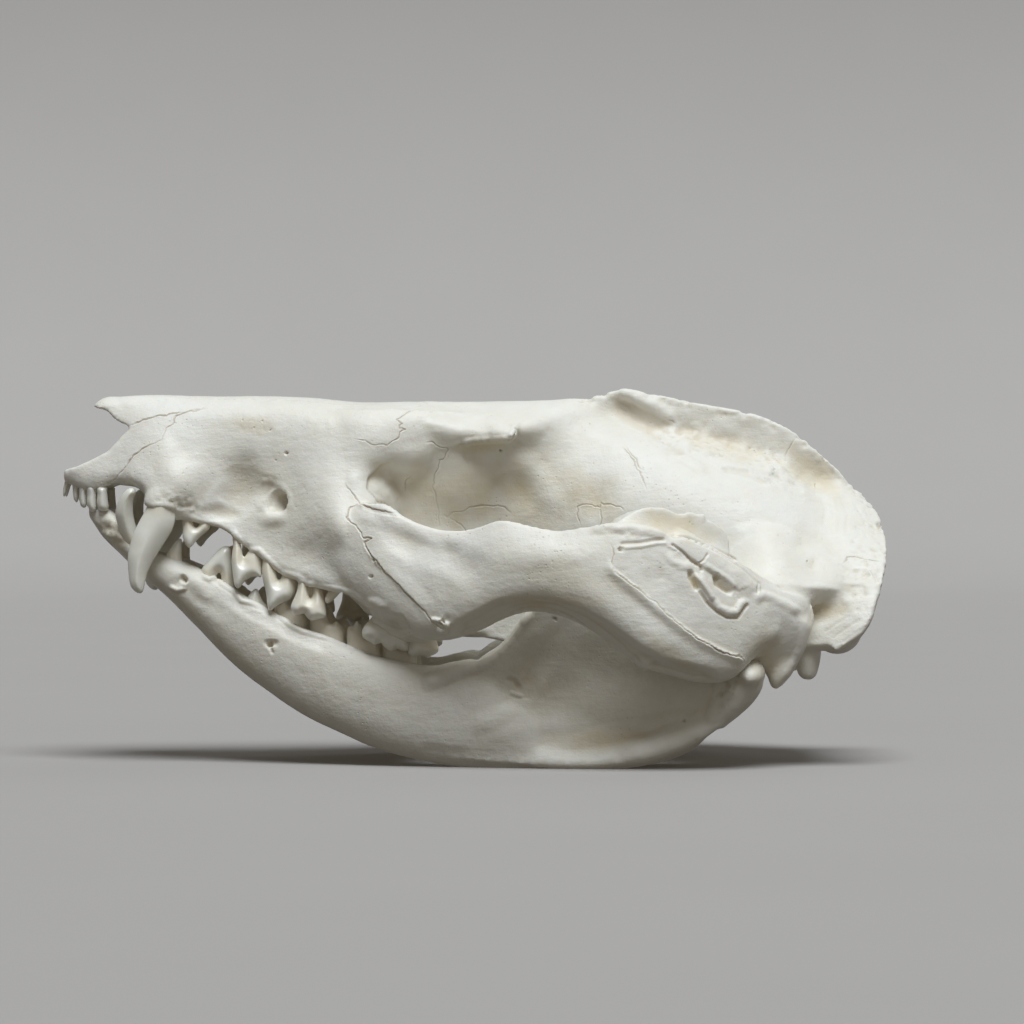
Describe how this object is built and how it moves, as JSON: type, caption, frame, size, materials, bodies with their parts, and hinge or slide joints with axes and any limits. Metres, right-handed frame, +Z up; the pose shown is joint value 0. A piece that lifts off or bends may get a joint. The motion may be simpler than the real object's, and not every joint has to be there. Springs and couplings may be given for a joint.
{
  "type": "opossum skull",
  "caption": "Bare adult opossum skull with its lower jaw closed, resting on the jaw: long snout, high crest, wide cheek arches and an empty place in the left tooth row.",
  "frame": {"origin": "centre of the bounding box at its base, on the surface that the lower jaw rests on", "axes": "+X from the nose towards the back of the head, +Y towards the animal's right, +Z up"},
  "size_m": [0.1222, 0.0686, 0.0555],
  "materials": {
    "bone": "matte",
    "jaw_bone": "matte"
  },
  "bodies": {
    "root": {"braincase": "bone", "jugal_left": "bone", "jugal_right": "bone", "maxilla_left": "bone", "maxilla_right": "bone", "premaxilla_left": "bone", "premaxilla_right": "bone", "nasal_left": "bone", "nasal_right": "bone", "mandible_left": "jaw_bone", "mandible_right": "jaw_bone"}
  },
  "joints": []
}
